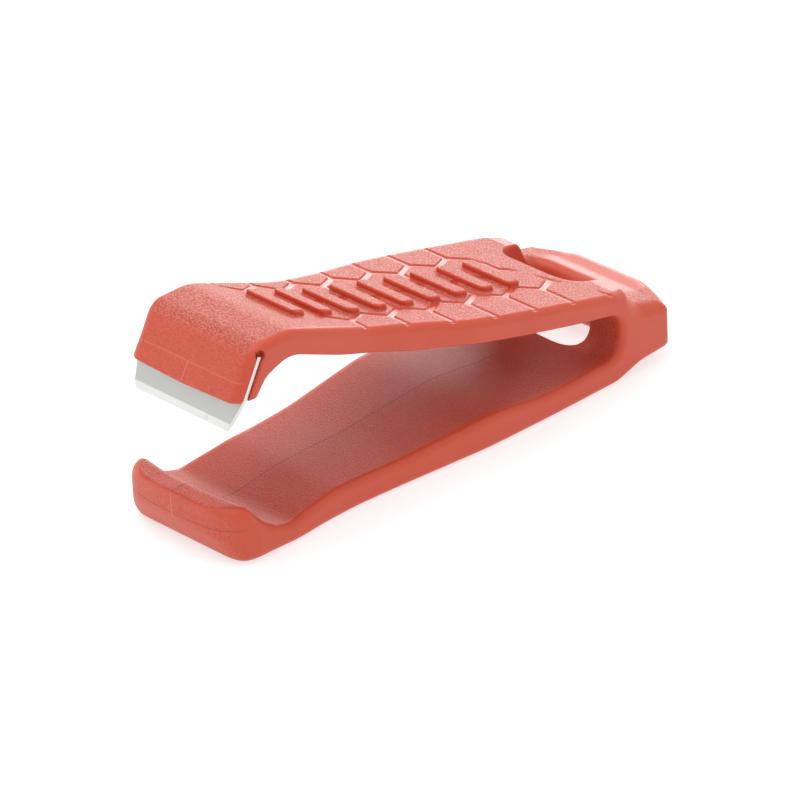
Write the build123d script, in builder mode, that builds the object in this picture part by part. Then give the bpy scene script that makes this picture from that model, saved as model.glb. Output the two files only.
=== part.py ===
from build123d import *
import os
from math import cos, radians, sin, tan

os.makedirs("parts", exist_ok=True)

# Line nipper: a one-piece moulded tweezer body with a steel blade in its upper jaw.
# Millimetres. X runs from the jaws (-X) to the lanyard bar (+X), Y across, Z up, and the
# lower lever lies flat on Z = 0. The shapes are set out from a point above the levers;
# each solid then moves by to_middle, which puts the origin under the middle of the nipper.

# overall
jaw_end = 31.0
rear_end = 32.0
to_middle = Location(((jaw_end - rear_end) / 2, 0, 0))
lever_half_width = 10.0
jaw_half_width = 7.8
waist_half_width = 7.7
lower_jaw_half_width = 8.7
lower_waist_half_width = 8.3
flank_half_width = 9.4
jaw_rear_x = -18.0        # stations along the levers for those half widths
waist_x = -9.0
flank_x = 1.0
full_width_x = 13.0
split_x = 18.0            # the levers are told apart from the bow here
split_gap = 0.1           # the upper lever's rear face stands this far off the bow

# upper lever, side view
top_slope = tan(radians(14.4))
under_slope = tan(radians(13.5))
plate_rear = (24.0, 9.5)
under_point = (20.0, 8.35)
sweep_x = 1.5             # in front of this the top sweeps up to the jaw
sweep_points = [(-8.5, 18.1), (-14.5, 20.4), (-21.0, 22.7)]
arch_x = -5.5             # in front of this the underside arches over the mouth
arch_point = (-14.5, 17.6)
arch_start = (0.45, 1)    # its direction where it leaves the jaw
jaw_top_z = sweep_points[-1][1]
jaw_front_lean = 31.0     # degrees from the vertical
jaw_nose = (-28.4, 17.7)
jaw_heel = (-25.0, 17.3)
jaw_arch = (-21.3, 19.6)
brow_round = 2.2

# lower lever, side view
lever_thickness = 2.8
anvil_top = 6.0
anvil_rear_x = -28.6
anvil_back = (-26.3, 3.8)
anvil_slope = -0.6        # of the top behind the lip
dish = (-23.3, 2.4)
dish_rear = (-15.5, 3.0)
belly = (2.0, 3.4)
nose_z = 3.8              # the front face reaches jaw_end here
nose_foot_x = -29.5
nose_round = 1.5
nose_corner = 2.0         # cut off the front corners, seen from above

# bow and lanyard bar, side view
eye_rear_x = 22.8
eye_upper_round = 2.2
eye_lower_round = 2.5
keel_x = 22.2             # the flat underside ends here
tail_low = (25.6, 1.75)
tail_low_z = 2.3
tail_high = (25.4, 7.8)
tail_high_z = 6.0
tail_round = 0.8
keel_round = 4.0
tail_low_round = 3.0
tail_high_round = 1.2
plate_rear_round = 0.6
tail_side_x = 29.4        # plan view: the tail's corners taper from here
tail_half_width = 4.6     # to this half width at the rear
slot_front_x = 20.0
slot_rear_x = 26.3
slot_half_width = 5.6

# blade
blade_thickness = 0.5
blade_lean = 29.0         # degrees from the vertical, edge to the front
blade_tip = (-28.6, 14.55)
blade_height = 7.9
blade_half_width = 7.5
blade_edge_half_width = 6.6
blade_taper_height = 3.4  # the two ends taper over this much of the height
bevel_height = 0.75
bevel_flat = 0.04         # thickness left at the cutting edge
relief_radius = 0.5

# grip bars across the upper lever
bar_count = 9
bar_pitch = 3.7
bar_length = 7.0
bar_width = 1.5
bar_height = 0.45
bar_middle_x = -0.8
bar_corner = 0.65

# rounds
corner_round = 1.2
edge_round = 0.9
under_round = 0.6
bow_round = 0.3
soft_edge = 0.35
lip_round = 0.6

# working allowances
reach = 10.0              # rough solids stand this far past what trims them
near_side = 0.5           # an edge this close to a side face belongs to it
near_top = 0.6
near_front = 2.2


def top_z(x):
    # the straight part of the upper lever's top
    return plate_rear[1] + (plate_rear[0] - x) * top_slope


def under_z(x):
    # the straight part of the upper lever's underside
    return under_point[1] + (under_point[0] - x) * under_slope


rear_x = split_x - split_gap
sweep = [(sweep_x, top_z(sweep_x)), *sweep_points]
arch = [jaw_heel, jaw_arch, arch_point, (arch_x, under_z(arch_x))]
brow = (jaw_nose[0] + (jaw_top_z - jaw_nose[1]) * tan(radians(jaw_front_lean)), jaw_top_z)

lean = radians(blade_lean)
to_edge = Vector(-sin(lean), 0, -cos(lean))
tip = Vector(blade_tip[0], 0, blade_tip[1])
# local x across the nipper, local y from the cutting edge up to the blade's back
blade_plane = Plane(origin=tip, x_dir=(0, 1, 0), z_dir=to_edge.cross(Vector(0, 1, 0)))
# the blade's cross-section: local x through its thickness, local y as above
blade_section = Plane(origin=tip, x_dir=blade_plane.z_dir, z_dir=(0, -1, 0))


def top_curve(lift):
    # the upper lever's top from the bow to the jaw, moved straight up by lift
    points = [(x, z + lift) for x, z in sweep]
    Line((rear_x, top_z(rear_x) + lift), points[0])
    Spline(*points, tangents=[(-1, top_slope), (-1, 0)])


def lever_plan(half_jaw, half_waist, corner):
    # half of a lever's outline from above, jaw to bow, on the +Y side
    Polyline(
        (-jaw_end, 0),
        (-jaw_end, half_jaw - corner),
        (corner - jaw_end, half_jaw),
        (jaw_rear_x, half_jaw),
    )
    Spline(
        (jaw_rear_x, half_jaw),
        (waist_x, half_waist),
        (flank_x, flank_half_width),
        (full_width_x, lever_half_width),
        tangents=[(1, 0), (1, 0)],
    )
    Polyline((full_width_x, lever_half_width), (split_x, lever_half_width), (split_x, 0))


def on_side(edge):
    # edges that run along a side face, away from the split
    middle = edge.center()
    lengthwise = abs((edge @ 1 - edge @ 0).Y) < edge.length / 2
    outside = abs(middle.Y) > waist_half_width - near_side
    return lengthwise and outside and abs(middle.X - split_x) > soft_edge


def on_outer_side(edge):
    # of those, the ones where the upper lever's top and front meet its sides
    middle = edge.center()
    at_top = middle.Z > top_z(middle.X) - near_top
    return on_side(edge) and (at_top or middle.X < jaw_nose[0] + near_front)


# raised grip bars, which follow the swept top
with BuildPart() as grip_bars:
    with BuildSketch(Plane.XZ):
        with BuildLine():
            top_curve(-bar_height)
            top_curve(bar_height)
            Line((rear_x, top_z(rear_x) - bar_height), (rear_x, top_z(rear_x) + bar_height))
            Line((sweep[-1][0], jaw_top_z - bar_height), (sweep[-1][0], jaw_top_z + bar_height))
        make_face()
    extrude(amount=bar_length, both=True)
    with BuildSketch(Plane.XY):
        with Locations((bar_middle_x, 0)):
            with GridLocations(bar_pitch, bar_length, bar_count, 1):
                RectangleRounded(bar_width, bar_length, bar_corner)
    extrude(amount=2 * jaw_top_z, mode=Mode.INTERSECT)

# upper lever: plate, jaw, blade slot and grip bars
with BuildPart() as upper_lever:
    with BuildSketch(Plane.XZ):
        with BuildLine():
            Line((rear_x, under_z(rear_x)), (rear_x, top_z(rear_x)))
            top_curve(0)
            FilletPolyline(sweep[-1], brow, jaw_nose, jaw_heel, radius=[brow_round, soft_edge])
            Spline(*arch, tangents=[arch_start, (1, -under_slope)])
            Line(arch[-1], (rear_x, under_z(rear_x)))
        make_face()
    extrude(amount=lever_half_width + reach, both=True)
    with BuildSketch(Plane.XY):
        with BuildLine():
            lever_plan(jaw_half_width, waist_half_width, soft_edge)
            mirror(about=Plane.XZ)
        make_face()
    extrude(amount=2 * jaw_top_z, mode=Mode.INTERSECT)
    # round the long edges of the top and the front, then the blade slot and the bars
    fillet(upper_lever.edges().filter_by(on_outer_side), radius=edge_round)
    with BuildSketch(blade_section):
        Rectangle(blade_thickness, blade_height, align=(Align.CENTER, Align.MIN))
        with Locations((0, blade_height)):
            Circle(relief_radius)
    extrude(amount=2 * jaw_half_width, both=True, mode=Mode.SUBTRACT)
    add(grip_bars.part)

upper_lever.part.label = "upper_lever"
export_step(upper_lever.part.moved(to_middle), "parts/upper_lever.step")

# lower lever: plate, dish and anvil lip
with BuildPart() as lower_lever:
    with BuildSketch(Plane.XZ):
        with BuildLine():
            Line((split_x, lever_thickness), (split_x, 0))
            FilletPolyline(
                (split_x, 0),
                (nose_foot_x, 0),
                (-jaw_end, nose_z),
                (-jaw_end, anvil_top),
                (anvil_rear_x, anvil_top),
                radius=[nose_round, soft_edge, lip_round],
            )
            Spline(
                (anvil_rear_x, anvil_top),
                anvil_back,
                dish,
                dish_rear,
                belly,
                (split_x, lever_thickness),
                tangents=[(1, anvil_slope), (1, 0)],
            )
        make_face()
    extrude(amount=lever_half_width + reach, both=True)
    with BuildSketch(Plane.XY):
        with BuildLine():
            lever_plan(lower_jaw_half_width, lower_waist_half_width, nose_corner)
            mirror(about=Plane.XZ)
        make_face()
    extrude(amount=anvil_top, mode=Mode.INTERSECT)
    # the round runs on from the underside up the front
    fillet(lower_lever.edges().filter_by(on_side).group_by(Axis.Z)[0], radius=under_round)

lower_lever.part.label = "lower_lever"
export_step(lower_lever.part.moved(to_middle), "parts/lower_lever.step")

# spring bow: the eye, the two straps beside the lanyard slot and the bar behind it
with BuildPart() as spring_bow:
    with BuildSketch(Plane.XZ):
        with BuildLine():
            FilletPolyline(
                (split_x, 0),
                (keel_x, 0),
                tail_low,
                (rear_end, tail_low_z),
                (rear_end, tail_high_z),
                tail_high,
                plate_rear,
                (split_x, top_z(split_x)),
                radius=[
                    keel_round,
                    tail_low_round,
                    tail_round,
                    tail_round,
                    tail_high_round,
                    plate_rear_round,
                ],
            )
            Line((split_x, top_z(split_x)), (split_x, under_z(split_x)))
            FilletPolyline(
                (split_x, under_z(split_x)),
                (eye_rear_x, under_z(eye_rear_x)),
                (eye_rear_x, lever_thickness),
                (split_x, lever_thickness),
                radius=[eye_upper_round, eye_lower_round],
            )
            Line((split_x, lever_thickness), (split_x, 0))
        make_face()
    extrude(amount=lever_half_width, both=True)
    with BuildSketch(Plane.XY):
        tail_plan = Polygon(
            (split_x, lever_half_width),
            (tail_side_x, lever_half_width),
            (rear_end, tail_half_width),
            (rear_end, -tail_half_width),
            (tail_side_x, -lever_half_width),
            (split_x, -lever_half_width),
            align=None,
        )
        fillet(tail_plan.vertices().filter_by(lambda corner: corner.X > split_x), radius=corner_round)
    extrude(amount=2 * plate_rear[1], mode=Mode.INTERSECT)
    fillet(spring_bow.edges().filter_by(on_side), radius=bow_round)
    with BuildSketch(Plane.XY.offset(-reach)):
        with Locations(((slot_front_x + slot_rear_x) / 2, 0)):
            SlotOverall(2 * slot_half_width, slot_rear_x - slot_front_x, rotation=90)
    extrude(amount=plate_rear[1] + 2 * reach, mode=Mode.SUBTRACT)

spring_bow.part.label = "spring_bow"
export_step(spring_bow.part.moved(to_middle), "parts/spring_bow.step")

# blade: a flat strip, its two ends tapered below the jaw, ground on both sides at the edge
with BuildPart() as blade:
    with BuildSketch(blade_section):
        Polygon(
            (-bevel_flat / 2, 0),
            (bevel_flat / 2, 0),
            (blade_thickness / 2, bevel_height),
            (blade_thickness / 2, blade_height),
            (-blade_thickness / 2, blade_height),
            (-blade_thickness / 2, bevel_height),
            align=None,
        )
    extrude(amount=blade_half_width, both=True)
    with BuildSketch(blade_plane):
        Polygon(
            (-blade_edge_half_width, 0),
            (blade_edge_half_width, 0),
            (blade_half_width, blade_taper_height),
            (blade_half_width, blade_height),
            (-blade_half_width, blade_height),
            (-blade_half_width, blade_taper_height),
            align=None,
        )
    extrude(amount=blade_thickness, both=True, mode=Mode.INTERSECT)

blade.part.label = "blade"
export_step(blade.part.moved(to_middle), "parts/blade.step")
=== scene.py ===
import math
import bmesh
import bpy
import numpy as np
from mathutils import Matrix, Vector


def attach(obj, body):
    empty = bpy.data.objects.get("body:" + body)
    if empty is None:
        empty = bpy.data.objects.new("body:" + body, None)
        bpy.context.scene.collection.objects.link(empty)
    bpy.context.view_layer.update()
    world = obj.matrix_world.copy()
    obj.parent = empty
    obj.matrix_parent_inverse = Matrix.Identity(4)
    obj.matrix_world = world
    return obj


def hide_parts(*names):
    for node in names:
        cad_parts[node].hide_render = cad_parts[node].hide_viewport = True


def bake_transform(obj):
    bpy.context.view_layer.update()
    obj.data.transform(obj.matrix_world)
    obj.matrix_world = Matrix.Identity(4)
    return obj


# A one-piece moulded line nipper with a steel blade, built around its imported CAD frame.
# Shapes below are in millimetres, in the frame's own axes: X from the jaws to the lanyard
# bar, Y across, Z up from the lower lever's flat underside. They are set out from a point
# half a millimetre in front of the frame's origin, and toFrame moves them there.

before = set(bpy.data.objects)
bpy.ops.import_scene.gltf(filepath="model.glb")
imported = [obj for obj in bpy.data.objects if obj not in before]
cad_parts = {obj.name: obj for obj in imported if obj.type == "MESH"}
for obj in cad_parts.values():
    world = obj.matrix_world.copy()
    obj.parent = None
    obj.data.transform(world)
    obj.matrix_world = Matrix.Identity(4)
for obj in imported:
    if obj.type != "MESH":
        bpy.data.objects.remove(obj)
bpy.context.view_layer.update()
mm = 0.001
toFrame = np.array([-0.5, 0.0, 0.0])
print("frame loaded:", sorted(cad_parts))


def smoothStep(value, low, high):
    t = np.clip((value - low) / (high - low), 0.0, 1.0)
    return t * t * (3.0 - 2.0 * t)


def roundedOutline(corners, arcPoints=10):
    # corners are (x, z, radius); each corner becomes an arc tangent to its two sides
    points = []
    count = len(corners)
    for i in range(count):
        here = np.array(corners[i][:2])
        toLast = np.array(corners[i - 1][:2]) - here
        toNext = np.array(corners[(i + 1) % count][:2]) - here
        lastLength, nextLength = np.linalg.norm(toLast), np.linalg.norm(toNext)
        toLast, toNext = toLast / lastLength, toNext / nextLength
        opening = math.acos(float(np.clip(toLast @ toNext, -1, 1)))
        reach = corners[i][2] / math.tan(opening / 2)
        reach = min(reach, 0.499 * lastLength, 0.499 * nextLength)
        if reach < 0.01:
            points.append(here)
            continue
        start, end = here + toLast * reach, here + toNext * reach
        for t in np.linspace(0, 1, arcPoints):
            # a quadratic curve stays tangent to both sides
            points.append((1 - t) ** 2 * start + 2 * t * (1 - t) * here + t * t * end)
    return np.array(points)


def outlineDistance(outline, u, v):
    # signed distance from a grid of points to a closed outline, negative inside
    best = np.full(u.shape, 1e9)
    crossings = np.zeros(u.shape, dtype=np.int32)
    for (ax, ay), (bx, by) in zip(outline, np.roll(outline, -1, axis=0)):
        dx, dy = bx - ax, by - ay
        length2 = dx * dx + dy * dy
        if length2 < 1e-12:
            continue
        t = np.clip(((u - ax) * dx + (v - ay) * dy) / length2, 0, 1)
        best = np.minimum(best, (u - ax - t * dx) ** 2 + (v - ay - t * dy) ** 2)
        if ay != by:
            hit = ((ay > v) != (by > v)) & (u < (v - ay) * dx / dy + ax)
            crossings += hit
    return np.where(crossings % 2 == 1, -1, 1) * np.sqrt(best)


def roundedMeet(a, b, radius):
    # where two solids overlap, with the edge between them rounded
    ra, rb = a + radius, b + radius
    corner = np.hypot(np.maximum(ra, 0), np.maximum(rb, 0))
    return corner + np.minimum(np.maximum(ra, rb), 0) - radius


bodyShape = {
    "gridStep": 0.14,
    "margin": 0.6,
    "halfWidth": 10,         # what the grid covers, before its margin
    "height": 22.75,
    "upperNose": -36.0,      # the upper plan runs on past the jaw, which the side view ends
    "lowerNose": -31.0,
    "outline": [  # outside of the side view: plate, jaw, lip, underside, tail
        (24.2, 9.65, 0.8), (1.2, 15.35, 40), (-9.5, 18.45, 40), (-20.4, 22.7, 6),
        (-25.3, 22.7, 2.6), (-28.45, 17.65, 0.7),
        (-31.0, 6.05, 0.4), (-31.0, 3.85, 0.8), (-29.1, 0.0, 2.4),
        (22.2, 0.0, 5), (25.6, 1.0, 4), (32.4, 1.4, 2.6), (32.4, 6.45, 1.8), (28.9, 6.6, 3),
        (25.6, 7.5, 2.0),
    ],
    "mouth": [  # the gap between the levers and the eye at its rear
        (-36.0, 18.3, 0), (-25.6, 17.35, 0.35), (-24.2, 19.1, 2.5), (-21.0, 20.3, 9),
        (-14.0, 17.3, 30), (-5.0, 14.15, 40), (22.85, 7.55, 2.3), (22.85, 2.75, 2.6),
        (12.5, 2.75, 30), (5.0, 3.65, 25), (-7.0, 2.9, 40), (-16.0, 3.0, 20),
        (-22.8, 2.15, 5), (-25.8, 2.9, 4), (-28.5, 6.0, 0.9), (-36.0, 6.0, 0),
    ],
    "upperHalfWidth": [(-32, 7.75), (-18, 7.75), (-9, 7.6), (-3, 8.35), (2, 9.45), (7, 9.9), (13, 10)],
    "lowerHalfWidth": [
        (-32, 8.7), (-24, 8.65), (-20.5, 8.4), (-17.5, 8.15), (-13, 8.15), (-7, 8.65), (-2, 9.2),
        (4, 9.8), (13, 10),
    ],
    "noseBow": 1.1,          # the lower jaw's front, from above: middle ahead of its corners
    "noseCorner": 4.5,
    "noseRadius": 30,
    "bowHalfWidth": 8.0,     # the bow is measured this far from the middle
    "bowRun": (-19, -26),    # and grows along here
    "lipRun": (-19, -20),    # only the lower jaw's mouth follows the bow
    "lipBelow": (9, 8),
    "lipEndRound": 1.0,      # added to the lip's edges at its two ends
    "lipEndFrom": (4.5, 7.0),
    "lipFront": (-24, -26),
    "noseRun": 9.0,          # the sides start this far behind the front
    "planChange": (7.0, 11.0),  # heights over which the lower plan gives way to the upper
    "draft": 0.03,           # the inner faces fall away from their middle line
    "draftFrom": 9.0,
    "tailCorner": (29.6, 10.0, 1.0),
    "tailRear": (32.3, 4.4, 1.8),
    "slot": [(20.35, 6.0, 4.0), (26.4, 6.3, 2.2), (26.4, -5.5, 2.2), (20.35, -5.2, 4.4)],  # from above
    "slotEdge": 0.12,        # crisp at the plate
    "slotBarEdge": 1.4,      # well rounded at the bar
    "slotBarFrom": (24.4, 26.0),
    "bladeTip": (-28.6, 14.55),
    "bladeLean": 29.0,
    "bladeHeight": 7.9,
    "slotHalfThickness": 0.24,
    "slotFlare": 0.10,
    "slotFlareFrom": (6.2, 7.2),
    "reliefRadius": 0.52,
    "reliefRise": 0.15,      # its middle above the blade's back
    "reliefFrom": 6.9,       # it goes in from the side face to here
}

# Edge rounds in the side view: a radius, then what is added to it, and where that sets in along
# X and Z. They are broad at the lower jaw's corners, and fuller along the top than underneath.
outerEdges = {
    "radius": 0.7,
    "added": [
        (0.25, [], [(7, 10)]),
        (0.45, [(-24, -27)], [(14, 16)]),
        (0.4, [(-20, -26)], [(3, 1)]),
        (1.0, [(21.5, 24.5)], [(4.5, 6.5)]),
        (-0.35, [(-27, -29)], [(2, 4), (9, 7)]),
    ],
}
mouthEdges = {
    "radius": 0.8,
    "added": [
        (-0.5, [], [(7.2, 9.5)]),
        (-0.45, [(-26, -28)], [(4, 5.5), (9, 7)]),
    ],
}

topPattern = {
    "pitch": 5.5,            # honeycomb pitch along the lever
    "along": 0.3,            # the pattern's middle tile, along and across
    "across": 0.45,
    "straightFrom": 8.5,     # outside this the walls run straight off the edge
    "channelWidth": 0.75,
    "channelDepth": 0.14,
    "wallWidth": 0.1,
    "front": -16.2,          # at the middle; both ends of the pattern slant
    "rear": 18.2,
    "slant": 0.42,
    "frontFade": 3.0,
    "from": -21.5,
    "to": 22.6,
    "barCount": 9,
    "barPitch": 3.7,
    "barMiddle": -0.8,
    "barHalfLength": 3.5,
    "barHalfWidth": 0.9,
    "barHeight": 0.58,
    "barCorner": 0.6,
    "barRound": 0.24,
    "barReach": 1.5,         # bars grow only this close to the top
    "barAway": 9.0,           # and this is added to their distance elsewhere
}

leanAngle = math.radians(bodyShape["bladeLean"])
bladeUp = np.array([math.sin(leanAngle), math.cos(leanAngle)])      # from the edge to the back
bladeAcross = np.array([math.cos(leanAngle), -math.sin(leanAngle)])  # through the thickness


widthCurve = {"reach": 34.0, "step": 0.05, "halfWindow": 60, "points": 120}


def halfWidthCurve(stations, x):
    # a smooth run through the stations
    half = widthCurve["halfWindow"]
    fine = np.arange(-widthCurve["reach"], widthCurve["reach"], widthCurve["step"])
    widths = np.interp(fine, [s[0] for s in stations], [s[1] for s in stations])
    kernel = np.hanning(2 * half + 1)
    padded = np.pad(widths, half, mode="edge")
    return np.interp(x, fine, np.convolve(padded, kernel / kernel.sum(), mode="valid"))


def planOutline(stations, frontX):
    # the front bows forward a little, the sides follow the stations, the rear tapers to the bar
    sideEnd = bodyShape["tailCorner"][0] - bodyShape["tailCorner"][2]
    x = np.linspace(frontX + bodyShape["noseRun"], sideEnd, widthCurve["points"])
    side = [(float(a), float(b), 0) for a, b in zip(x, halfWidthCurve(stations, x))]
    corner = (frontX + bodyShape["noseBow"], side[0][1], bodyShape["noseCorner"])
    half = [corner] + side + [bodyShape["tailCorner"], bodyShape["tailRear"]]
    mirrored = [(a, -b, r) for a, b, r in reversed(half)]
    return roundedOutline(half + mirrored + [(frontX, 0.0, bodyShape["noseRadius"])])


def lipBow(x, y):
    # how far the back of the lower jaw's lip follows its bowed front
    share = (y / bodyShape["bowHalfWidth"]) ** 2 * smoothStep(x, *bodyShape["bowRun"])
    return bodyShape["noseBow"] * share


def edgeRadius(edges, x, z):
    radius = np.full(x.shape, edges["radius"])
    for amount, alongX, alongZ in edges["added"]:
        share = np.ones(x.shape)
        for value, limits in [(x, limits) for limits in alongX] + [(z, limits) for limits in alongZ]:
            share = share * smoothStep(value, *limits)
        radius += amount * share
    return radius


def topCurveDistance():
    # the top of the upper lever as x, z and distance along it from x = 0
    outline = roundedOutline(bodyShape["outline"])
    run = outline[(outline[:, 1] > 9.4) & (outline[:, 0] > -24.0)]
    run = run[np.argsort(run[:, 0])]
    along = np.concatenate([[0], np.cumsum(np.hypot(*np.diff(run, axis=0).T))])
    along -= np.interp(0.0, run[:, 0], along)
    return run[:, 0], run[:, 1], along


topX, topZ, topAlong = topCurveDistance()


def bodyField():
    step, margin = bodyShape["gridStep"], bodyShape["margin"]
    x = np.arange(bodyShape["lowerNose"] - margin, bodyShape["tailRear"][0] + margin, step)
    y = (np.arange(math.ceil((bodyShape["halfWidth"] + margin) / step)) + 0.5) * step
    z = np.arange(-margin, bodyShape["height"] + margin, step)
    gx, gz = np.meshgrid(x, z, indexing="ij")
    side = outlineDistance(roundedOutline(bodyShape["outline"]), gx, gz)
    mouth = outlineDistance(roundedOutline(bodyShape["mouth"]), gx, gz)
    px, py = np.meshgrid(x, y, indexing="ij")
    upperOutline = planOutline(bodyShape["upperHalfWidth"], bodyShape["upperNose"])
    lowerOutline = planOutline(bodyShape["lowerHalfWidth"], bodyShape["lowerNose"])
    upperPlan = outlineDistance(upperOutline, px, py)
    lowerPlan = outlineDistance(lowerOutline, px, py)

    share = smoothStep(z, *bodyShape["planChange"])[None, None, :]
    plan = upperPlan[:, :, None] * share + lowerPlan[:, :, None] * (1 - share)
    outerRound = edgeRadius(outerEdges, gx, gz)
    innerRound = edgeRadius(mouthEdges, gx, gz)
    field = roundedMeet(side[:, None, :], plan, outerRound[:, None, :])
    # the mouth, deeper towards its sides by the mould's draft
    draft = bodyShape["draft"] * np.maximum(bodyShape["draftFrom"] - y, 0)
    place = np.clip((x[:, None] - lipBow(x[:, None], y[None, :]) - x[0]) / step, 0, len(x) - 2)
    base = place.astype(np.int64)
    part = (place - base)[:, :, None]
    lipAlong, lipDown = smoothStep(x, *bodyShape["lipRun"]), smoothStep(z, *bodyShape["lipBelow"])
    lipShare = (lipAlong[:, None] * lipDown[None, :])[:, None, :]
    bowedMouth = mouth[base] * (1 - part) + mouth[base + 1] * part
    mouthHere = bowedMouth * lipShare + mouth[:, None, :] * (1 - lipShare) + draft[None, :, None]
    lipFront = smoothStep(gx, *bodyShape["lipFront"]) * (gz < bodyShape["lipBelow"][0])
    lipEnd = smoothStep(y, *bodyShape["lipEndFrom"])[None, :, None] * lipFront[:, None, :]
    innerRound = innerRound[:, None, :] + bodyShape["lipEndRound"] * lipEnd
    field = roundedMeet(field, -mouthHere, innerRound)

    # lanyard slot: crisp at the plate, well rounded at the bar
    slotOutline = roundedOutline(bodyShape["slot"])
    slotRound = bodyShape["slotBarEdge"] * smoothStep(x, *bodyShape["slotBarFrom"])
    slotRound = (bodyShape["slotEdge"] + slotRound)[:, None, None]

    # blade slot with its relief hole
    relX, relZ = gx - bodyShape["bladeTip"][0], gz - bodyShape["bladeTip"][1]
    up = relX * bladeUp[0] + relZ * bladeUp[1]
    across = relX * bladeAcross[0] + relZ * bladeAcross[1]
    flare = bodyShape["slotFlare"] * smoothStep(y, *bodyShape["slotFlareFrom"])
    thin = np.abs(across)[:, None, :] - bodyShape["slotHalfThickness"] - flare[None, :, None]
    cut = np.maximum(thin, (up - bodyShape["bladeHeight"])[:, None, :])
    holeUp = up - bodyShape["bladeHeight"] - bodyShape["reliefRise"]
    hole = np.hypot(across, holeUp)[:, None, :] - bodyShape["reliefRadius"]
    hole = np.maximum(hole, (bodyShape["reliefFrom"] - y)[None, :, None])
    field = np.maximum(field, -np.minimum(cut, hole))

    # raised grip bars
    lift = np.abs(side)[:, None, :] - topPattern["barHeight"]
    first = topPattern["barMiddle"] - topPattern["barPitch"] * (topPattern["barCount"] - 1) / 2
    nearest = np.round((px - first) / topPattern["barPitch"]).clip(0, topPattern["barCount"] - 1)
    corner = topPattern["barCorner"]
    bx = np.abs(px - first - nearest * topPattern["barPitch"]) - topPattern["barHalfWidth"] + corner
    by = np.abs(py) - topPattern["barHalfLength"] + corner
    foot = np.hypot(np.maximum(bx, 0), np.maximum(by, 0)) + np.minimum(np.maximum(bx, by), 0) - corner
    nearTop = gz > np.interp(gx, topX, topZ) - topPattern["barReach"]
    away = np.where(nearTop, 0.0, topPattern["barAway"])[:, None, :]
    barsField = roundedMeet(lift + away, foot[:, :, None], topPattern["barRound"])
    field = np.minimum(field, barsField)

    full = np.concatenate([field[:, ::-1, :], field], axis=1)
    wholeY = np.concatenate([-y[::-1], y])
    slotX, slotY = np.meshgrid(x, wholeY, indexing="ij")
    slotField = outlineDistance(slotOutline, slotX, slotY)[:, :, None]
    full = roundedMeet(full, -slotField, slotRound).astype(np.float32)
    origin = np.array([x[0], -y[-1], z[0]])
    return full, origin


def sampleField(field, origin, step, points):
    place = (points - origin) / step
    base = np.floor(place).astype(np.int64)
    base = np.clip(base, 0, np.array(field.shape) - 2)
    part = np.clip(place - base, 0, 1)
    value = np.zeros(len(points))
    for corner in np.ndindex(2, 2, 2):
        weight = np.ones(len(points))
        for axis in range(3):
            weight *= part[:, axis] if corner[axis] else 1 - part[:, axis]
        at = base + np.array(corner)
        value += weight * field[at[:, 0], at[:, 1], at[:, 2]]
    return value


def fieldSlope(field, origin, step, points):
    slope = np.zeros_like(points)
    for axis in range(3):
        shift = np.zeros(3)
        shift[axis] = step * 0.5
        ahead = sampleField(field, origin, step, points + shift)
        slope[:, axis] = ahead - sampleField(field, origin, step, points - shift)
    return slope / np.maximum(np.linalg.norm(slope, axis=1, keepdims=True), 1e-9)


def surfaceNet(field, origin, step):
    # one vertex in each cell that the surface passes through, one quad over each crossed edge
    inside = field < 0
    total = np.zeros(tuple(n - 1 for n in field.shape), dtype=np.uint8)
    for a, b, c in np.ndindex(2, 2, 2):
        total += inside[a:a + total.shape[0], b:b + total.shape[1], c:c + total.shape[2]]
    active = (total > 0) & (total < 8)
    cells = np.argwhere(active)
    index = np.full(total.shape, -1, dtype=np.int64)
    index[active] = np.arange(len(cells))
    sums, counts = np.zeros((len(cells), 3)), np.zeros(len(cells))
    for axis in range(3):
        others = [n for n in range(3) if n != axis]
        for s, t in np.ndindex(2, 2):
            low = np.zeros(3, dtype=np.int64)
            low[others[0]], low[others[1]] = s, t
            high = low.copy()
            high[axis] = 1
            a = field[tuple((cells + low).T)]
            b = field[tuple((cells + high).T)]
            crossed = (a < 0) != (b < 0)
            part = np.where(crossed, a / np.where(crossed, a - b, 1), 0)
            place = np.tile(low.astype(float), (len(cells), 1))
            place[:, axis] = part
            sums += place * crossed[:, None]
            counts += crossed
    vertices = origin + (cells + sums / counts[:, None]) * step
    quads = []
    for axis in range(3):
        u, v = [(1, 2), (2, 0), (0, 1)][axis]
        ahead = np.take(inside, range(1, field.shape[axis]), axis=axis)
        behind = np.take(inside, range(field.shape[axis] - 1), axis=axis)
        for leaving in (True, False):
            where = (behind & ~ahead) if leaving else (~behind & ahead)
            at = np.argwhere(where)
            at = at[(at[:, u] > 0) & (at[:, v] > 0)]
            at = at[(at[:, u] < total.shape[u]) & (at[:, v] < total.shape[v])]
            ring = []
            for du, dv in ((-1, -1), (0, -1), (0, 0), (-1, 0)):
                cell = at.copy()
                cell[:, u] += du
                cell[:, v] += dv
                ring.append(index[tuple(cell.T)])
            ring = np.stack(ring, axis=1)
            quads.append(ring if leaving else ring[:, ::-1])
    return vertices, np.concatenate(quads)


def relax(vertices, quads, field, origin, step, rounds):
    # even out the quads, then pull each vertex back on to the surface
    count = len(vertices)
    ends = np.concatenate([quads[:, [0, 1]], quads[:, [1, 2]], quads[:, [2, 3]], quads[:, [3, 0]]])
    degree = np.bincount(ends[:, 0], minlength=count)
    for _ in range(rounds):
        middle = np.stack(
            [np.bincount(ends[:, 0], vertices[ends[:, 1], axis], count) for axis in range(3)], axis=1
        ) / degree[:, None]
        vertices = vertices + 0.5 * (middle - vertices)
        for _ in range(2):
            slope = fieldSlope(field, origin, step, vertices)
            vertices = vertices - slope * sampleField(field, origin, step, vertices)[:, None]
    return vertices


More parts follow.
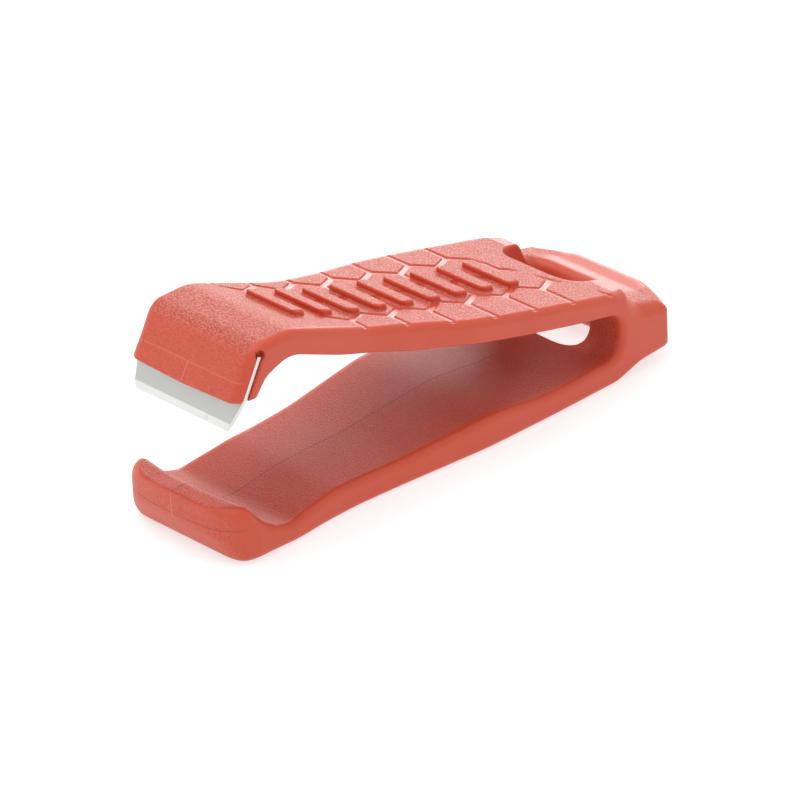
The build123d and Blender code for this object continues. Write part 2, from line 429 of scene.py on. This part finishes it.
def honeycomb(along, across):
    # distance in mm to the nearest tile's outline, negative on the tile
    pitch = topPattern["pitch"]
    rowStep = pitch * math.sqrt(3) / 2
    straight = topPattern["straightFrom"]
    along = along - topPattern["along"]
    across = np.clip(across - topPattern["across"], -straight, straight)
    best = np.full(along.shape, 1e9)
    for shift in (0.0, 0.5):
        # rows two apart share their columns
        firstRow = rowStep * (2 * shift - 0.5)
        cy = firstRow + 2 * rowStep * np.round((across - firstRow) / (2 * rowStep))
        cx = (np.round(along / pitch - shift) + shift) * pitch
        u, v = np.abs(along - cx), np.abs(across - cy)
        # flats face along the lever, points face across it
        apothem = (pitch - topPattern["channelWidth"]) / 2
        best = np.minimum(best, np.maximum(u, u * 0.5 + v * math.sqrt(3) / 2) - apothem)
    return best


# Which face of the body a vertex is on. A pair gives the two ends of a gradual change, and
# for the uprights the two heights that the line runs between.
faces = {
    "plateAbove": 8.6,
    "fineDepth": 0.6,        # the finer grid goes this deep below the top
    "upperAbove": 8.5,       # the upper lever's widths hold above this
    "jawsBefore": -24,
    "topDepth": 0.5,
    "topFacing": 0.55,
    "topTilt": 0.968,        # a height above the sloping top as a distance from it
    "tileLevel": 0.12,
    "barLevel": 0.36,
    "edgeOfPattern": (0.15, 0.5),    # from the side edge
    "rearFade": (0, 0.5),
    "channelFacing": (0.72, 0.88),
    "topEdge": (0.75, 1.15),
    "grainFacing": (0.75, 0.9),
    "mouthSkin": (-0.12, -0.03),
    "mouthEdge": (0.6, 1.1),
    "mouthRear": 23.5,
    "jawFacing": (0.6, 0.85),
    "jawEdge": (0.5, 1.3),
    "frontHighlitGrain": 0.3,
    "underFacing": -0.8,
    "underBelow": 1,
    "underEdge": (0.6, 1.0),
    "tailFrom": 25.8,
    "tailSides": (5.0, 7.0),
    "tailFacing": (0.8, 0.93),
    "tailEdge": (0.5, 0.9),
    "browBefore": -17,
    "browAbove": 17.9,
    "browFacing": (0.35, 0.95),
    "browEdge": (0.8, 1.4),
    "seamSkin": 0.2,
    "seamRear": 14,
    "seamShare": 0.5,
    "seamFacing": (0.3, 0.6),
    "seamEdge": (0.3, 0.7),
    "lowerUpright": (3.3, 6.2),
    "upperUpright": (17.0, 19.4),
    "wallLevel": (0.03, 0.15),
    "wallFacing": (0.9, 0.7),
}


def buildBody():
    step = bodyShape["gridStep"]
    field, origin = bodyField()
    print("body field", field.shape)
    vertices, quads = surfaceNet(field, origin, step)
    vertices = relax(vertices, quads, field, origin, step, 3)
    print("body net", len(vertices), "vertices")
    mesh = bpy.data.meshes.new("mouldedBody")
    mesh.vertices.add(len(vertices))
    mesh.vertices.foreach_set("co", vertices.ravel())
    mesh.loops.add(quads.size)
    mesh.loops.foreach_set("vertex_index", quads.ravel())
    mesh.polygons.add(len(quads))
    mesh.polygons.foreach_set("loop_start", np.arange(0, quads.size, 4))
    mesh.update(calc_edges=True)
    mesh.validate()

    # a finer grid where the honeycomb is
    work = bmesh.new()
    work.from_mesh(mesh)
    patch = []
    for edge in work.edges:
        a, b = edge.verts[0].co, edge.verts[1].co
        x, y, z = (a.x + b.x) / 2, (a.y + b.y) / 2, (a.z + b.z) / 2
        if topPattern["from"] < x < topPattern["to"] and z > faces["plateAbove"]:
            if z > np.interp(x, topX, topZ) - faces["fineDepth"]:
                patch.append(edge)
    bmesh.ops.subdivide_edges(work, edges=patch, cuts=1, use_grid_fill=True)
    work.to_mesh(mesh)
    work.free()
    count = len(mesh.vertices)
    co = np.empty(count * 3)
    mesh.vertices.foreach_get("co", co)
    co = co.reshape(-1, 3)
    for _ in range(2):
        slope = fieldSlope(field, origin, step, co)
        co -= slope * sampleField(field, origin, step, co)[:, None]

    # which face of the body each vertex is on
    x, y, z = co.T
    surfaceTop = np.interp(x, topX, topZ)
    along = np.interp(x, topX, topAlong)
    halfWidth = halfWidthCurve(bodyShape["upperHalfWidth"], x)
    lowerWidth = halfWidthCurve(bodyShape["lowerHalfWidth"], x)
    sideRoom = np.where(z > faces["upperAbove"], halfWidth, lowerWidth) - np.abs(y)
    facingUp, facingFront = slope[:, 2], -slope[:, 0]
    onJaws = x < faces["jawsBefore"]
    onTop = (z > surfaceTop - faces["topDepth"]) & (facingUp > faces["topFacing"])
    onTop = onTop & (x > faces["jawsBefore"]) & (x < topPattern["to"])
    level = (z - surfaceTop) * faces["topTilt"]
    onTile = onTop & (level < faces["tileLevel"])
    frontEnd = topPattern["front"] - topPattern["slant"] * y
    rearEnd = topPattern["rear"] - topPattern["slant"] * y
    fade = smoothStep(x - frontEnd, 0, topPattern["frontFade"])
    fade = fade * smoothStep(rearEnd - x, *faces["rearFade"])
    fade = fade * smoothStep(sideRoom, *faces["edgeOfPattern"])
    fade = fade * smoothStep(facingUp, *faces["channelFacing"])
    gap = honeycomb(along, y)
    channel = smoothStep(gap, -topPattern["wallWidth"] / 2, topPattern["wallWidth"] / 2)
    channel = np.where(onTile, channel * fade, 0)
    co -= slope * (channel * topPattern["channelDepth"])[:, None]

    # grained where the mould was textured, smooth on the rounds, walls and channel floors
    barTop = onTop & (level > faces["barLevel"])
    topGrain = smoothStep(sideRoom, *faces["topEdge"]) * np.maximum(onTile * (1 - channel), barTop)
    topGrain = topGrain * smoothStep(facingUp, *faces["grainFacing"])
    onLower = smoothStep(z, *bodyShape["lipBelow"])
    mouthGap = outlineDistance(roundedOutline(bodyShape["mouth"]), x - lipBow(x, y) * onLower, z)
    mouthGap = mouthGap + bodyShape["draft"] * np.maximum(bodyShape["draftFrom"] - np.abs(y), 0)
    inner = smoothStep(-np.abs(mouthGap), *faces["mouthSkin"]) * (x < faces["mouthRear"])
    inner = inner * smoothStep(sideRoom, *faces["mouthEdge"])
    front = smoothStep(facingFront, *faces["jawFacing"]) * onJaws
    front = front * smoothStep(sideRoom, *faces["jawEdge"])
    under = (facingUp < faces["underFacing"]) * (z < faces["underBelow"])
    under = under * smoothStep(sideRoom, *faces["underEdge"])
    tailEnds = (x > faces["tailFrom"]) * smoothStep(np.abs(y), *faces["tailSides"])
    tailEnds = tailEnds * smoothStep(facingUp, *faces["tailFacing"])
    tailEnds = tailEnds * smoothStep(sideRoom, *faces["tailEdge"])
    jawTop = (x <= faces["browBefore"]) * (z > faces["browAbove"])
    jawTop = jawTop * smoothStep(facingUp, *faces["browFacing"])
    jawTop = jawTop * smoothStep(sideRoom, *faces["browEdge"])
    # the grained faces that look up, forward or back, which the shader also paints with highlights on the
    # grain's tips
    highlitGrain = np.maximum.reduce([topGrain, faces["frontHighlitGrain"] * front, tailEnds, jawTop])
    grain = np.maximum.reduce([highlitGrain, inner, under])

    # the tool's parting lines: down the middle, and across the front of each jaw; the shader paints shade
    # along some and a highlight along others
    innerSeam = (np.abs(mouthGap) < faces["seamSkin"]) * (x < faces["seamRear"])
    seamFront = smoothStep(facingFront, *faces["seamFacing"])
    frontSeam = faces["seamShare"] * seamFront * onJaws * smoothStep(sideRoom, *faces["seamEdge"])
    upright = np.zeros(len(z), dtype=bool)
    for low, high in (faces["lowerUpright"], faces["upperUpright"]):
        upright |= (z > low) & (z < high)
    # the bars' walls, which the shader paints with a glow, as light gathering in the thin walls
    barWall = onTop * smoothStep(level, *faces["wallLevel"]) * smoothStep(facingUp, *faces["wallFacing"])
    shades = {
        "grain": grain, "channel": channel, "innerSeam": innerSeam, "frontSeam": frontSeam,
        "highlitGrain": highlitGrain, "barWall": barWall,
        "uprightSeam": upright * onJaws * seamFront,
    }
    for name, values in shades.items():
        layer = mesh.attributes.new(name, "FLOAT", "POINT")
        layer.data.foreach_set("value", values.astype(np.float32))
    restPlace = mesh.attributes.new("restPlace", "FLOAT_VECTOR", "POINT")
    restPlace.data.foreach_set("vector", co.astype(np.float32).ravel())
    mesh.vertices.foreach_set("co", ((co + toFrame) * mm).ravel())
    mesh.polygons.foreach_set("use_smooth", np.ones(len(mesh.polygons), dtype=bool))
    mesh.update()
    body = bpy.data.objects.new("mouldedBody", mesh)
    bpy.context.scene.collection.objects.link(body)
    print("body built:", count, "vertices,", len(mesh.polygons), "faces")
    return body


body = buildBody()
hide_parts("upper_lever", "lower_lever", "spring_bow")
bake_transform(body)


bladeShape = {
    "thickness": 0.5,
    "halfWidth": 7.5,
    "edgeHalfWidth": 6.6,
    "taperHeight": 3.4,
    "bevelHeight": 0.78,
    "edgeFlat": 0.04,
    "softening": 0.025,
}


def buildBlade():
    half, flat = bladeShape["thickness"] / 2, bladeShape["edgeFlat"] / 2
    bevel, top, wide = bladeShape["bevelHeight"], bodyShape["bladeHeight"], bladeShape["halfWidth"]
    section = [(-flat, 0), (flat, 0), (half, bevel), (half, top), (-half, top), (-half, bevel)]
    work = bmesh.new()
    rings = []
    for y in (-wide, wide):
        ring = []
        for through, up in section:
            x, z = np.array(bodyShape["bladeTip"]) + through * bladeAcross + up * bladeUp
            ring.append(work.verts.new(((x + toFrame[0]) * mm, y * mm, z * mm)))
        rings.append(ring)
    work.faces.new(rings[0])
    work.faces.new(list(reversed(rings[1])))
    for i in range(len(section)):
        j = (i + 1) % len(section)
        work.faces.new((rings[0][j], rings[0][i], rings[1][i], rings[1][j]))
    # the two ends are cut back towards the cutting edge
    lower = np.array(bodyShape["bladeTip"])
    shoulder = lower + bladeShape["taperHeight"] * bladeUp
    for side in (-1, 1):
        a = Vector((lower[0] + toFrame[0], side * bladeShape["edgeHalfWidth"], lower[1])) * mm
        b = Vector((shoulder[0] + toFrame[0], side * wide, shoulder[1])) * mm
        normal = (b - a).cross(Vector((bladeAcross[0], 0, bladeAcross[1]))) * side
        if normal.y * side < 0:
            normal.negate()
        everything = work.verts[:] + work.edges[:] + work.faces[:]
        cut = bmesh.ops.bisect_plane(work, geom=everything, plane_co=a, plane_no=normal, clear_outer=True)
        rim = [e for e in cut["geom_cut"] if isinstance(e, bmesh.types.BMEdge)]
        bmesh.ops.edgenet_fill(work, edges=rim)
    bmesh.ops.recalc_face_normals(work, faces=work.faces[:])
    bmesh.ops.bevel(
        work, geom=work.edges[:], offset=bladeShape["softening"] * mm, segments=2, affect="EDGES",
        clamp_overlap=True,
    )
    mesh = bpy.data.meshes.new("bladeStrip")
    work.to_mesh(mesh)
    work.free()
    # ground bright on the bevels and the sheared ends, dull on the two broad faces
    bright = mesh.attributes.new("bright", "FLOAT", "FACE")
    broad = Vector((bladeAcross[0], 0, bladeAcross[1]))
    bright.data.foreach_set("value", [float(abs(p.normal @ broad) < 0.995) for p in mesh.polygons])
    strip = bpy.data.objects.new("bladeStrip", mesh)
    bpy.context.scene.collection.objects.link(strip)
    print("blade built:", len(mesh.polygons), "faces")
    return strip


bladeStrip = buildBlade()
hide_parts("blade")
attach(bladeStrip, "upper_body")


def linear(hexColour):
    channels = [int(hexColour[i:i + 2], 16) / 255 for i in (1, 3, 5)]
    return tuple(c / 12.92 if c <= 0.04045 else ((c + 0.055) / 1.055) ** 2.4 for c in channels) + (1,)


def addNode(tree, kind, settings=None, links=None):
    # a setting goes to the socket of that name or number, or else to the node itself
    node = tree.nodes.new(kind)
    for name, value in (settings or {}).items():
        if isinstance(name, int) or name in node.inputs:
            node.inputs[name].default_value = value
        else:
            setattr(node, name, value)
    for name, source in (links or {}).items():
        tree.links.new(source, node.inputs[name])
    return node


def newMaterial(name):
    material = bpy.data.materials.new(name)
    material.use_nodes = True
    material.node_tree.nodes.clear()
    return material, material.node_tree


# Moulded nylon: satin from the polished tool, speckled where the tool was spark-eroded. The speckles are a
# real bump, coloured with painted shade in the grain's hollows and painted highlight on its tips on the
# faces that look up, forward or back.
nylon = {
    "colour": "#CD4F32",
    "deep": "#C3452B",
    # the next four tints are painted light: shade in the grain's hollows, highlight on the grain's tips,
    # shade along the parting lines, and a glow in the bars' walls
    "paintedPitShade": "#962F20",
    "paintedHighlight": "#E39A8C",
    "paintedSeamShade": "#641C12",
    "paintedWallGlow": "#DE3A20",       # light gathers in the bars' thin walls
    "pitShade": 0.38,
    "peakShade": 0.4,
    "wallGlowShare": 0.8,
    "ior": 1.5,
    "satin": 0.42,
    "grainRoughness": 0.54,
    "channelRoughness": 0.38,
    "grainSize": 0.175,      # mm, spark-eroded texture, as coarse as it needs to show
    "grainHeight": 0.045,    # mm
    "bareGrain": 0.06,       # share of the grain left on the polished faces
    "mottleSize": 6.0,       # mm, slow colour drift in the melt
    "seamHalfWidth": 0.055,  # mm
    "seamHeight": 0.05,      # mm
    "seamCore": 0.5,         # full strength to here, in half widths
    "seamFade": 1.6,         # and gone here
    "grainSplit": (0.38, 0.62),
    "lowerSeamZ": 3.9,
    "upperSeamZ": 19.4,
    "seamShadeShare": 0.65,
    "seamHighlightShare": 0.35,
    "subsurface": 0.3,
    "subsurfaceRadius": (1.0, 0.25, 0.15),
    "subsurfaceScale": 0.0006,
}


def seamLine(tree, axis, at):
    # 1 on a parting line where the axis reads at, 0 beside it
    offset = addNode(tree, "ShaderNodeMath", {"operation": "SUBTRACT", 1: at}, {0: axis})
    away = addNode(tree, "ShaderNodeMath", {"operation": "ABSOLUTE"}, {0: offset.outputs[0]})
    return addNode(
        tree, "ShaderNodeMapRange",
        {
            "interpolation_type": "SMOOTHSTEP", "From Min": nylon["seamHalfWidth"] * nylon["seamCore"],
            "From Max": nylon["seamHalfWidth"] * nylon["seamFade"], "To Min": 1.0, "To Max": 0.0,
        },
        {"Value": away.outputs[0]},
    ).outputs["Result"]


def makeNylon():
    material, tree = newMaterial("mouldedNylonCoral")
    rest = addNode(tree, "ShaderNodeAttribute", {"attribute_name": "restPlace"}).outputs["Vector"]
    mask = {
        name: addNode(tree, "ShaderNodeAttribute", {"attribute_name": name}).outputs["Fac"]
        for name in (
            "grain", "highlitGrain", "channel", "barWall", "innerSeam", "frontSeam", "uprightSeam"
        )
    }
    axes = addNode(tree, "ShaderNodeSeparateXYZ", None, {"Vector": rest}).outputs
    speckle = addNode(
        tree, "ShaderNodeTexNoise",
        {"Scale": 1 / nylon["grainSize"], "Detail": 1.5, "Roughness": 0.55, "Distortion": 0.4},
        {"Vector": rest},
    )
    relief = addNode(
        tree, "ShaderNodeMapRange",
        {
            "interpolation_type": "SMOOTHSTEP", "From Min": nylon["grainSplit"][0],
            "From Max": nylon["grainSplit"][1],
        },
        {"Value": speckle.outputs["Fac"]},
    ).outputs["Result"]
    # the grain's hollows carry painted shade on every grained face; its tips carry a painted highlight on
    # the faces that look up, forward or back
    hollow = addNode(tree, "ShaderNodeMath", {"operation": "SUBTRACT", 0: 1.0}, {1: relief})
    peaks = addNode(tree, "ShaderNodeMath", {"operation": "MULTIPLY"}, {0: relief, 1: mask["highlitGrain"]})
    pits = addNode(
        tree, "ShaderNodeMath", {"operation": "MULTIPLY"}, {0: hollow.outputs[0], 1: mask["grain"]}
    )

    # parting lines: painted shade down the inner faces and round the lower nose, where they also sink as a
    # shallow groove, and a painted highlight on the upper jaw's line and the upright ticks
    middle = seamLine(tree, axes["Y"], 0.0)
    lines = {}
    for name, line, where in (
        ("inner", middle, "innerSeam"),
        ("lower", seamLine(tree, axes["Z"], nylon["lowerSeamZ"]), "frontSeam"),
        ("upper", seamLine(tree, axes["Z"], nylon["upperSeamZ"]), "frontSeam"),
        ("upright", middle, "uprightSeam"),
    ):
        lines[name] = addNode(
            tree, "ShaderNodeMath", {"operation": "MULTIPLY"}, {0: line, 1: mask[where]}
        ).outputs[0]
    dark = addNode(
        tree, "ShaderNodeMath", {"operation": "MAXIMUM"}, {0: lines["inner"], 1: lines["lower"]}
    )
    pale = addNode(
        tree, "ShaderNodeMath", {"operation": "MAXIMUM"}, {0: lines["upper"], 1: lines["upright"]}
    )

    mottle = addNode(
        tree, "ShaderNodeTexNoise", {"Scale": 1 / nylon["mottleSize"], "Detail": 3.0}, {"Vector": rest}
    )
    colour = addNode(
        tree, "ShaderNodeMix",
        {"data_type": "RGBA", 6: linear(nylon["colour"]), 7: linear(nylon["deep"])},
        {"Factor": mottle.outputs["Fac"]},
    ).outputs[2]
    # painted light over the melt colour, layer by layer: shade in the grain's hollows, highlight on its
    # tips, a glow in the bars' walls, shade along the parting lines and highlight along the upper and
    # upright ones
    for share, strength, tint in (
        (pits.outputs[0], "pitShade", "paintedPitShade"),
        (peaks.outputs[0], "peakShade", "paintedHighlight"),
        (mask["barWall"], "wallGlowShare", "paintedWallGlow"),
        (dark.outputs[0], "seamShadeShare", "paintedSeamShade"),
        (pale.outputs[0], "seamHighlightShare", "paintedHighlight"),
    ):
        factor = addNode(tree, "ShaderNodeMath", {"operation": "MULTIPLY", 1: nylon[strength]}, {0: share})
        colour = addNode(
            tree, "ShaderNodeMix", {"data_type": "RGBA", 7: linear(nylon[tint])},
            {"Factor": factor.outputs[0], 6: colour},
        ).outputs[2]

    rough = addNode(
        tree, "ShaderNodeMath",
        {"operation": "MULTIPLY_ADD", 1: nylon["grainRoughness"] - nylon["satin"], 2: nylon["satin"]},
        {0: mask["grain"]},
    )
    rough = addNode(
        tree, "ShaderNodeMath",
        {"operation": "MULTIPLY_ADD", 1: nylon["channelRoughness"] - nylon["satin"]},
        {0: mask["channel"], 2: rough.outputs[0]},
    )
    amount = addNode(
        tree, "ShaderNodeMath", {"operation": "MAXIMUM", 1: nylon["bareGrain"]}, {0: mask["grain"]}
    )
    height = addNode(
        tree, "ShaderNodeMath", {"operation": "MULTIPLY"}, {0: relief, 1: amount.outputs[0]}
    )
    height = addNode(
        tree, "ShaderNodeMath", {"operation": "MULTIPLY", 1: nylon["grainHeight"]}, {0: height.outputs[0]}
    )
    height = addNode(
        tree, "ShaderNodeMath", {"operation": "MULTIPLY_ADD", 1: -nylon["seamHeight"]},
        {0: dark.outputs[0], 2: height.outputs[0]},
    )
    bump = addNode(
        tree, "ShaderNodeBump", {"Strength": 1.0, "Distance": mm}, {"Height": height.outputs[0]}
    )
    shader = addNode(
        tree, "ShaderNodeBsdfPrincipled",
        {
            "IOR": nylon["ior"],
            "Subsurface Weight": nylon["subsurface"],
            "Subsurface Radius": nylon["subsurfaceRadius"],
            "Subsurface Scale": nylon["subsurfaceScale"],
        },
        {"Base Color": colour, "Roughness": rough.outputs[0], "Normal": bump.outputs["Normal"]},
    )
    addNode(tree, "ShaderNodeOutputMaterial", None, {"Surface": shader.outputs["BSDF"]})
    return material


body.data.materials.append(makeNylon())

# Stainless strip: dull rolled faces with fine lines along it, honed bevels and sheared ends.
steel = {
    "dull": "#D2D2CE",
    "bright": "#E4E4E1",
    "line": "#9A9A96",
    "lineShade": 0.2,
    "stain": "#77736E",
    "stainShade": 0.5,
    "roughness": 0.36,
    "brightRoughness": 0.24,
    "lineRoughness": 0.12,
    "lineSpacing": 0.12,     # mm, drawn as coarse as it needs to show
    "lineLength": 30.0,      # times as long as they are wide
    "specks": 1.4,           # mm between faint specks
    "speckSplit": (0.68, 0.78),
}


def makeSteel():
    material, tree = newMaterial("rolledStainlessSteel")
    place = addNode(tree, "ShaderNodeTexCoord").outputs["Object"]
    bright = addNode(tree, "ShaderNodeAttribute", {"attribute_name": "bright"}).outputs["Fac"]
    stretch = addNode(
        tree, "ShaderNodeMapping", {"Scale": (1.0, 1 / steel["lineLength"], 1.0)}, {"Vector": place}
    )
    lines = addNode(
        tree, "ShaderNodeTexNoise",
        {"Scale": 1 / (steel["lineSpacing"] * mm), "Detail": 2.0},
        {"Vector": stretch.outputs["Vector"]},
    ).outputs["Fac"]
    cloud = addNode(
        tree, "ShaderNodeTexNoise", {"Scale": 1 / (steel["specks"] * mm), "Detail": 6.0}, {"Vector": place}
    )
    speck = addNode(
        tree, "ShaderNodeMapRange",
        {
            "From Min": steel["speckSplit"][0], "From Max": steel["speckSplit"][1],
            "To Max": steel["stainShade"],
        },
        {"Value": cloud.outputs["Fac"]},
    )
    drawn = addNode(tree, "ShaderNodeMath", {"operation": "MULTIPLY", 1: steel["lineShade"]}, {0: lines})
    colour = addNode(
        tree, "ShaderNodeMix",
        {"data_type": "RGBA", 6: linear(steel["dull"]), 7: linear(steel["bright"])}, {"Factor": bright},
    )
    for share, tint in ((drawn, "line"), (speck, "stain")):
        colour = addNode(
            tree, "ShaderNodeMix", {"data_type": "RGBA", 7: linear(steel[tint])},
            {"Factor": share.outputs[0], 6: colour.outputs[2]},
        )
    rough = addNode(
        tree, "ShaderNodeMath",
        {
            "operation": "MULTIPLY_ADD", 1: steel["brightRoughness"] - steel["roughness"],
            2: steel["roughness"],
        },
        {0: bright},
    )
    rough = addNode(
        tree, "ShaderNodeMath", {"operation": "MULTIPLY_ADD", 1: steel["lineRoughness"]},
        {0: lines, 2: rough.outputs[0]},
    )
    shader = addNode(
        tree, "ShaderNodeBsdfPrincipled", {"Metallic": 1.0},
        {"Base Color": colour.outputs[2], "Roughness": rough.outputs[0]},
    )
    addNode(tree, "ShaderNodeOutputMaterial", None, {"Surface": shader.outputs["BSDF"]})
    return material


bladeStrip.data.materials.append(makeSteel())
print("materials made")

studio = {
    "floorSize": 4.0,
    "floorColour": "#B0B4B5",
    "floorGlow": 0.63,       # a lit white table, so that shadows on it stay faint
    "floorDrop": 0.00005,    # keeps the paper clear of the underside
    "paperRoughness": 0.9,
    "paperSheen": 0.1,
    "worldStrength": 0.9,
    "topPower": 2.4,
    "topSize": 0.6,
    "topPlace": (-0.1, 0.2, 0.8),
    "backPower": 2.4,
    "backSize": 0.36,
    "backPlace": (0.68, 0.57, 0.15),
    "backTarget": (0, 0, 0.01),
    "camera": (-0.3556, -0.3761, 0.2921),
    "right": (0.7113, -0.7019, -0.0379),
    "up": (0.3659, 0.3238, 0.8725),
    "lens": 264.3,
    "sensor": 36,
    "nearClip": 0.01,
}


def makeFloor():
    mesh = bpy.data.meshes.new("floor")
    half = studio["floorSize"] / 2
    corners = [(-half, -half, 0), (half, -half, 0), (half, half, 0), (-half, half, 0)]
    mesh.from_pydata(corners, [], [(0, 1, 2, 3)])
    floor = bpy.data.objects.new("floor", mesh)
    bpy.context.scene.collection.objects.link(floor)
    floor.location.z = -studio["floorDrop"]
    material, tree = newMaterial("studioPaper")
    shader = addNode(
        tree, "ShaderNodeBsdfPrincipled",
        {
            "Base Color": linear(studio["floorColour"]), "Roughness": studio["paperRoughness"],
            "Specular IOR Level": studio["paperSheen"],
            "Emission Color": (1, 1, 1, 1), "Emission Strength": studio["floorGlow"],
        },
    )
    addNode(tree, "ShaderNodeOutputMaterial", None, {"Surface": shader.outputs["BSDF"]})
    mesh.materials.append(material)


def addSoftLight(name, place, target, size, power):
    light = bpy.data.lights.new(name, "AREA")
    light.size = size
    light.energy = power
    lamp = bpy.data.objects.new(name, light)
    lamp.location = place
    lamp.rotation_euler = (Vector(target) - Vector(place)).to_track_quat("-Z", "Y").to_euler()
    bpy.context.scene.collection.objects.link(lamp)


def makeStudio():
    makeFloor()
    world = bpy.data.worlds.new("studioWorld")
    world.use_nodes = True
    backdrop = world.node_tree.nodes["Background"]
    backdrop.inputs["Color"].default_value = (1, 1, 1, 1)
    backdrop.inputs["Strength"].default_value = studio["worldStrength"]
    bpy.context.scene.world = world
    addSoftLight("topSoftbox", studio["topPlace"], (0, 0, 0), studio["topSize"], studio["topPower"])
    addSoftLight(
        "backSoftbox", studio["backPlace"], studio["backTarget"], studio["backSize"],
        studio["backPower"],
    )

    camera = bpy.data.cameras.new("camera")
    camera.lens = studio["lens"]
    camera.sensor_width = studio["sensor"]
    camera.clip_start = studio["nearClip"]
    holder = bpy.data.objects.new("camera", camera)
    right, up = Vector(studio["right"]), Vector(studio["up"])
    back = right.cross(up)
    matrix = Matrix((right, up, back)).transposed().to_4x4()
    matrix.translation = studio["camera"]
    holder.matrix_world = matrix
    bpy.context.scene.collection.objects.link(holder)
    bpy.context.scene.camera = holder
    bpy.context.scene.view_settings.view_transform = "Standard"


makeStudio()
print("studio set")
